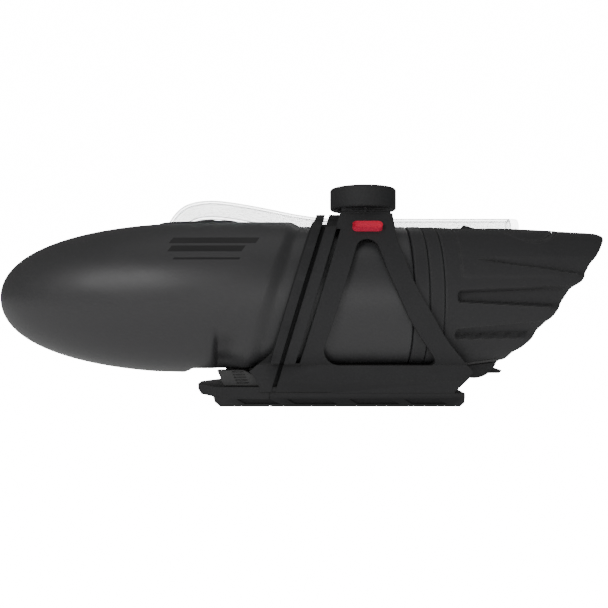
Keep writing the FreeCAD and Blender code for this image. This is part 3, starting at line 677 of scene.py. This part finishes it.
# %% Bite valve
VALVE_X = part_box("bite_valve")[0][0]
VALVE = [(0, 0), (0, 4.3), (0.15, 5.0), (0.5, 5.1), (1.6, 5.0), (3.4, 4.9), (4.2, 4.6), (4.6, 3.6),
         (4.7, 1.6), (4.3, 0.9), (4.3, 0)]


def valve_point(turn, run):
    angle = 2 * math.pi * turn
    steps = np.linspace(0, 1, len(VALVE))
    x = VALVE_X + np.interp(run, steps, [p[0] * MM for p in VALVE])
    r = np.interp(run, steps, [p[1] * MM for p in VALVE])
    return np.stack([x, r * np.sin(angle), STRAW_Z + r * np.cos(angle)], axis=1)


valve = rolled("bite_valve_skin", 48, 60, valve_point)
dress(valve, silicone, "drinking_end", "valve", "bite_valve")

# %% [markdown]
# The computer mount, the straw clip and the release pads are small mouldings whose engineering solids
# already have the right shape, so they become rounded copies. The voxel is chosen for each: fine for the
# pads, which have narrow ribs, and coarser for the mount's thick round top.

# %% Small mouldings
MOULDINGS = [
    ("computer_mount_base", 0.3, 2, smooth_nylon, "mount", "cage"),
    ("computer_mount_puck", 0.4, 4, smooth_nylon, "mount", "puck"),
    ("straw_clip", 0.25, 3, elastomer, "bottle", "boot"),
    ("release_pad_left", 0.2, 2, pad_rubber, "left_pad", "pad"),
    ("release_pad_right", 0.2, 2, pad_rubber, "right_pad", "pad"),
]
for node, voxel, relax, finish, body, slot in MOULDINGS:
    dress(moulded_copy(node, voxel * MM, relax), finish, body, slot, node)

# %% [markdown]
# A red bar is pad-printed on each side of the saddle, where the cage's shoulder is a flat 45 degree slope.
# It is made as a film with rounded ends, a tenth of a millimetre proud.

# %% Red printed bars
BAR_X = (10.2 * MM, 25.0 * MM)
BAR_Z = (86.6 * MM, 90.4 * MM)
BAR_FILM = 0.12 * MM
SHOULDER_OUT = 2.95 * MM    # the cage's sloped shoulder lies this far outside the sleeve
slope_sum = (SLEEVE_R + SHOULDER_OUT) * math.sqrt(2) + AXIS_Z    # side distance plus height, on the slope
bar_length = BAR_X[1] - BAR_X[0]
bar_height = (BAR_Z[1] - BAR_Z[0]) * math.sqrt(2)
for side in (-1, 1):
    deselect()
    bpy.ops.mesh.primitive_cube_add(size=1)
    bar = bpy.context.object
    bar.name = "red_bar_" + ("left" if side > 0 else "right")
    bar.scale = (bar_length, bar_height, BAR_FILM)
    bpy.ops.object.transform_apply(location=True, rotation=True, scale=True)
    for edge in bar.data.edges:
        a, b = (bar.data.vertices[i].co for i in edge.vertices)
        edge.select = abs(a.z - b.z) > BAR_FILM / 2
    bpy.ops.object.mode_set(mode="EDIT")
    bpy.ops.mesh.select_mode(type="EDGE")
    bpy.ops.mesh.bevel(offset=bar_height * 0.45, segments=12)
    bpy.ops.object.mode_set(mode="OBJECT")
    z_mid = (BAR_Z[0] + BAR_Z[1]) / 2
    bar.rotation_euler = (math.radians(45) * -side, 0, 0)
    bar.location = ((BAR_X[0] + BAR_X[1]) / 2, side * (slope_sum - z_mid), z_mid)
    bpy.ops.object.transform_apply(location=True, rotation=True, scale=True)
    dress(bar, red_ink, "mount", "puck")

# %% [markdown]
# The remaining engineering solids keep their own shape and only get their finish. Screws, the pin and the
# inserts are plain turned parts. The cage, its plate and the latch are large or thin mouldings with narrow
# grooves, which a voxel copy would blur, so their edges are only softened in the finish.

# %% Finishes on the parts that stay
STAYING = {"cage": nylon, "base_plate": nylon, "base_end_cap": nylon, "release_housing": nylon,
           "latch_lever": nylon, "latch_pin": stainless, "dip_tube": clear_tube,
           "refill_rim": elastomer, "latch_pad": pad_rubber,
           "refill_leaf_left": elastomer, "refill_leaf_right": elastomer}
for name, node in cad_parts.items():
    finish = STAYING.get(name)
    if "screw" in name:
        finish = stainless
    if name.startswith("bar_insert"):
        finish = brass
    if finish:
        node.data.materials.clear()
        node.data.materials.append(finish)

# %% [markdown]
# The set is plain: a pale floor that meets a white surround, a broad soft light above, and a weaker one
# from the camera's side, so that the satin barrel shows one wide highlight. Black plastic mirrors whatever
# stands around it, so the surround is bright where the camera sees it and dimmer where it lights the part.

# %% Floor, surround, lights and camera
BACKDROP = 16.0
SURROUND = 0.16


def backdrop_strength(tree, seen, unseen):
    """A strength that is `seen` for the camera's own view and `unseen` for light and reflections."""
    eye = add(tree, "ShaderNodeLightPath").outputs["Is Camera Ray"]
    strength = add(tree, "ShaderNodeMapRange", {"Value": eye, "To Min": unseen, "To Max": seen})
    return strength.outputs["Result"]


deselect()
bpy.ops.mesh.primitive_plane_add(size=8, location=(0, 0, -0.0005))
floor = bpy.context.object
floor.name = "floor"
floor_finish, tree, shader, coords = new_finish("pale_floor")
shader.inputs["Base Color"].default_value = hex_colour("#f0f0f0")
shader.inputs["Roughness"].default_value = 0.8
shader.inputs["Emission Color"].default_value = (1, 1, 1, 1)
tree.links.new(backdrop_strength(tree, BACKDROP, 0.42), shader.inputs["Emission Strength"])
floor.data.materials.append(floor_finish)

world = bpy.data.worlds.new("studio")
world.use_nodes = True
tree = world.node_tree
background = tree.nodes["Background"]
background.inputs["Color"].default_value = (1, 1, 1, 1)
tree.links.new(backdrop_strength(tree, BACKDROP, SURROUND), background.inputs["Strength"])
bpy.context.scene.world = world


def soft_light(name, place, aim, size, power):
    lamp = bpy.data.lights.new(name, "AREA")
    lamp.size = size
    lamp.energy = power
    holder = bpy.data.objects.new(name, lamp)
    bpy.context.collection.objects.link(holder)
    holder.location = place
    away = holder.location - type(holder.location)(aim)
    holder.rotation_euler = away.to_track_quat("Z", "Y").to_euler()


soft_light("overhead", (-0.05, -0.1, 0.9), (0, 0, 0.05), 0.7, 0.8)
soft_light("front_key", (-0.45, -0.65, 0.42), (-0.05, 0, 0.06), 0.32, 2.2)
soft_light("low_fill", (0.1, -0.8, 0.03), (0, 0, 0.04), 0.5, 1.2)
soft_light("rear_fill", (0.1, 0.8, 0.35), (0, 0, 0.05), 0.6, 1.6)

CAMERA_X = -13.6 * MM
CAMERA_Z = 51.1 * MM
CAMERA_DISTANCE = 354.7 * MM
view_data = bpy.data.cameras.new("camera")
view_data.lens = 40
view_data.sensor_width = 36
view_data.clip_start = 0.01
camera = bpy.data.objects.new("camera", view_data)
bpy.context.collection.objects.link(camera)
camera.location = (CAMERA_X, -CAMERA_DISTANCE, CAMERA_Z)
camera.rotation_euler = (math.pi / 2, 0, 0)
bpy.context.scene.camera = camera
